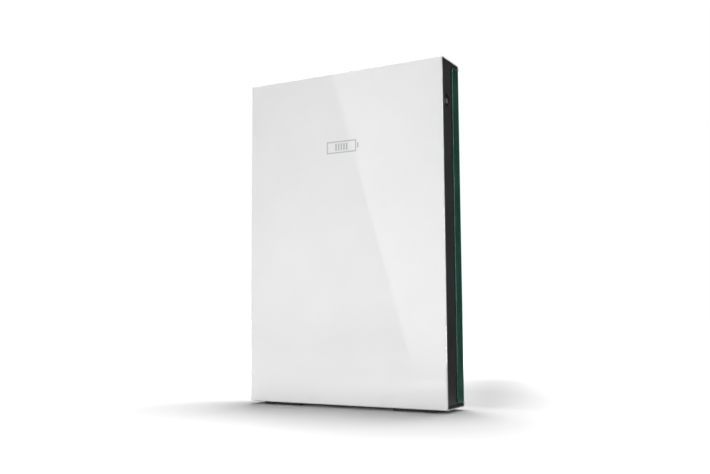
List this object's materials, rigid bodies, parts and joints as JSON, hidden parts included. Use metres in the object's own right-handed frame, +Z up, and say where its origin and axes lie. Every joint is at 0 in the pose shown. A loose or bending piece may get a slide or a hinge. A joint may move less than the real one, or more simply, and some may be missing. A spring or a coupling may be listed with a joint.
{
  "type": "wall battery unit",
  "caption": "Flat upright home battery with a white front cover, dark side covers, a green light strip, a side switch, feet and a wall bracket.",
  "frame": {"origin": "on the floor under the centre of the unit, midway between its front and back", "axes": "+X to the viewer's right facing the front cover, +Y from the front cover towards the wall, +Z up"},
  "size_m": [0.753, 0.147, 1.15],
  "materials": {
    "cover_white": "high gloss white",
    "badge_grey": "satin grey inlay",
    "enclosure_white": "satin white powder coat",
    "side_charcoal": "satin charcoal",
    "lens_green": "smoked green, polished",
    "board_green": "solder mask",
    "led_white": "diffused",
    "switch_black": "polished black",
    "contact_brass": "tinned tabs",
    "foot_black": "black nylon",
    "rubber_black": "matte",
    "steel": "zinc plated",
    "bracket_steel": "black powder coat",
    "lid_grey": "satin grey powder coat",
    "clip_grey": "acetal",
    "gasket_foam": "closed-cell foam",
    "tray_aluminium": "as extruded",
    "module_blue": "dark grey lacquer",
    "plate_aluminium": "brazed",
    "pad_grey": "gap filler",
    "cell_steel": "sleeved cans",
    "nickel": "nickel sheet",
    "inverter_aluminium": "die cast",
    "cap_black": "sleeved",
    "copper": "enamelled copper",
    "relay_grey": "moulded",
    "fan_black": "moulded",
    "pump_black": "moulded",
    "impeller_grey": "moulded",
    "bottle_milky": "translucent polyethylene",
    "cable_orange": "insulated",
    "connector_grey": "moulded"
  },
  "bodies": {
    "enclosure": {"rear_enclosure": "enclosure_white", "side_walls": "enclosure_white", "lid_rim": "enclosure_white", "side_cover_right": "side_charcoal", "side_cover_left": "side_charcoal", "light_pipe": "lens_green", "led_board": "board_green", "status_leds": "led_white", "switch_housing": "switch_black", "switch_terminals": "contact_brass", "feet": "foot_black", "foot_pads": "rubber_black", "foot_bolts": "steel", "breather_vent": "foot_black", "hanger_cleats": "steel", "cleat_screws": "steel", "wiring_box": "connector_grey", "conduit_plug": "foot_black", "terminal_block": "connector_grey", "terminal_screws": "contact_brass", "ground_bar": "contact_brass", "comms_connectors": "connector_grey", "module_trays": "tray_aluminium", "module_lids": "module_blue", "cold_plates": "plate_aluminium", "thermal_pads": "pad_grey", "battery_cells": "cell_steel", "busbars": "nickel", "bms_boards": "board_green", "module_brackets": "steel", "module_screws": "steel", "inverter_housing": "inverter_aluminium", "power_board": "board_green", "board_screws": "steel", "capacitors": "cap_black", "inductors": "copper", "relays": "relay_grey", "control_board": "board_green", "radiator": "plate_aluminium", "fan_frames": "fan_black", "pump_body": "pump_black", "coolant_bottle": "bottle_milky", "coolant_hoses": "rubber_black", "hose_clamps": "steel", "power_cables": "cable_orange"},
    "wall_bracket_body": {"wall_bracket": "bracket_steel"},
    "service_lid": {"inner_lid": "lid_grey", "lid_gasket": "gasket_foam", "lid_screws": "steel", "cover_clips": "clip_grey"},
    "hatch": {"wiring_cover": "lid_grey", "wiring_cover_screws": "steel"},
    "cover": {"front_cover": "cover_white", "cover_studs": "clip_grey", "cover_badge": "badge_grey"},
    "rocker": {"switch_rocker": "switch_black"},
    "fan_lower": {"fan_rotor_lower": "fan_black"},
    "fan_upper": {"fan_rotor_upper": "fan_black"},
    "impeller": {"pump_impeller": "impeller_grey"},
    "fill_cap": {"bottle_cap": "pump_black"}
  },
  "joints": [
    {"name": "bracket_unhook", "type": "slide", "parent": "enclosure", "child": "wall_bracket_body", "axis": [0, 0, -1], "range_m": [0, 0.028]},
    {"name": "lid_removal", "type": "slide", "parent": "enclosure", "child": "service_lid", "axis": [0, -1, 0], "range_m": [0, 0.12]},
    {"name": "hatch_removal", "type": "slide", "parent": "service_lid", "child": "hatch", "axis": [0, -1, 0], "range_m": [0, 0.06]},
    {"name": "cover_removal", "type": "slide", "parent": "hatch", "child": "cover", "axis": [0, -1, 0], "range_m": [0, 0.12]},
    {"name": "switch_rock", "type": "hinge", "parent": "enclosure", "child": "rocker", "pos_m": [0.3615, -0.029, 1.012], "axis": [0, 1, 0], "range_deg": [0, 20]},
    {"name": "fan_lower_spin", "type": "hinge", "parent": "enclosure", "child": "fan_lower", "pos_m": [-0.3095, 0, 0.905], "axis": [1, 0, 0], "continuous": true},
    {"name": "fan_upper_spin", "type": "hinge", "parent": "enclosure", "child": "fan_upper", "pos_m": [-0.3095, 0, 1.015], "axis": [1, 0, 0], "continuous": true},
    {"name": "pump_spin", "type": "hinge", "parent": "enclosure", "child": "impeller", "pos_m": [-0.243, 0, 0.82], "axis": [1, 0, 0], "continuous": true},
    {"name": "fill_cap_turn", "type": "hinge", "parent": "enclosure", "child": "fill_cap", "pos_m": [-0.232, 0, 1.0845], "axis": [0, 0, 1], "range_deg": [0, 90]}
  ]
}
